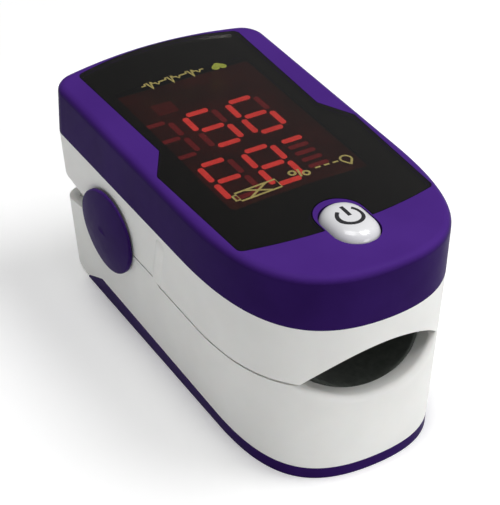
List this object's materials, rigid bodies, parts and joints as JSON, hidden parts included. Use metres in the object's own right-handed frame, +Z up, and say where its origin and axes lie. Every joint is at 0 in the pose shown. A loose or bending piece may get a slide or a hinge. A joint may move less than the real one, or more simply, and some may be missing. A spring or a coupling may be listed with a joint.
{
  "type": "fingertip pulse oximeter",
  "caption": "Spring-closed clip for a fingertip: hinged upper and lower jaw with soft pads, smoked display window, push button and sliding battery door.",
  "frame": {"origin": "centre of the underside's bounding box", "axes": "+X across the body, +Y along it from the finger mouth to the hinge end, +Z up"},
  "size_m": [0.0326, 0.0576, 0.0324],
  "materials": {
    "purple_plastic": "satin moulded plastic",
    "white_plastic": "fine satin moulded plastic",
    "smoked_acrylic": "polished, dark tinted",
    "button_plastic": "gloss",
    "pad_rubber": "matt silicone",
    "clear_lens": "clear moulded",
    "steel": "nickel plated",
    "cell_wrap": "printed sleeve without lettering",
    "board_green": "solder mask",
    "chip_black": "moulded epoxy",
    "display_black": "matt",
    "segment_red": "tinted epoxy",
    "cable_film": "polyimide film"
  },
  "bodies": {
    "lower_jaw": {"battery_left": "cell_wrap", "battery_right": "cell_wrap", "bridge_contact": "steel", "contact_springs": "steel", "detector_board": "board_green", "detector_lens": "clear_lens", "hinge_cap_left": "purple_plastic", "hinge_cap_right": "purple_plastic", "hinge_pin_left": "steel", "hinge_pin_right": "steel", "jaw_cable": "cable_film", "lower_finger_pad": "pad_rubber", "lower_shell": "white_plastic", "photodiode": "chip_black", "rear_contacts": "steel", "torsion_spring_left": "steel", "torsion_spring_right": "steel"},
    "upper_jaw": {"upper_cover": "purple_plastic", "display_window": "smoked_acrylic", "upper_shell": "white_plastic", "upper_finger_pad": "pad_rubber", "emitter_lens": "clear_lens", "emitter_led": "clear_lens", "emitter_board": "board_green", "main_board": "board_green", "board_screws": "steel", "controller_chip": "chip_black", "driver_chip": "chip_black", "passive_parts": "chip_black", "display_module": "display_black", "digit_segments": "segment_red", "tact_switch": "chip_black"},
    "button": {"power_button": "button_plastic", "switch_plunger": "button_plastic"},
    "door": {"battery_door": "purple_plastic"}
  },
  "joints": [
    {"name": "jaw_hinge", "type": "hinge", "parent": "lower_jaw", "child": "upper_jaw", "pos_m": [0, 0.0139, 0.0145], "axis": [-1, 0, 0], "range_deg": [0, 18], "stiffness_Nm_per_rad": 0.15, "springref_deg": -17.19, "deforming": ["torsion_spring_left", "torsion_spring_right", "jaw_cable"]},
    {"name": "button_press", "type": "slide", "parent": "upper_jaw", "child": "button", "axis": [0, 0, -1], "range_m": [0, 0.0005], "stiffness_N_per_m": 600, "springref_m": -0.0004},
    {"name": "door_slide", "type": "slide", "parent": "lower_jaw", "child": "door", "axis": [0, -0.9996, -0.0266], "range_m": [0, 0.048]}
  ]
}
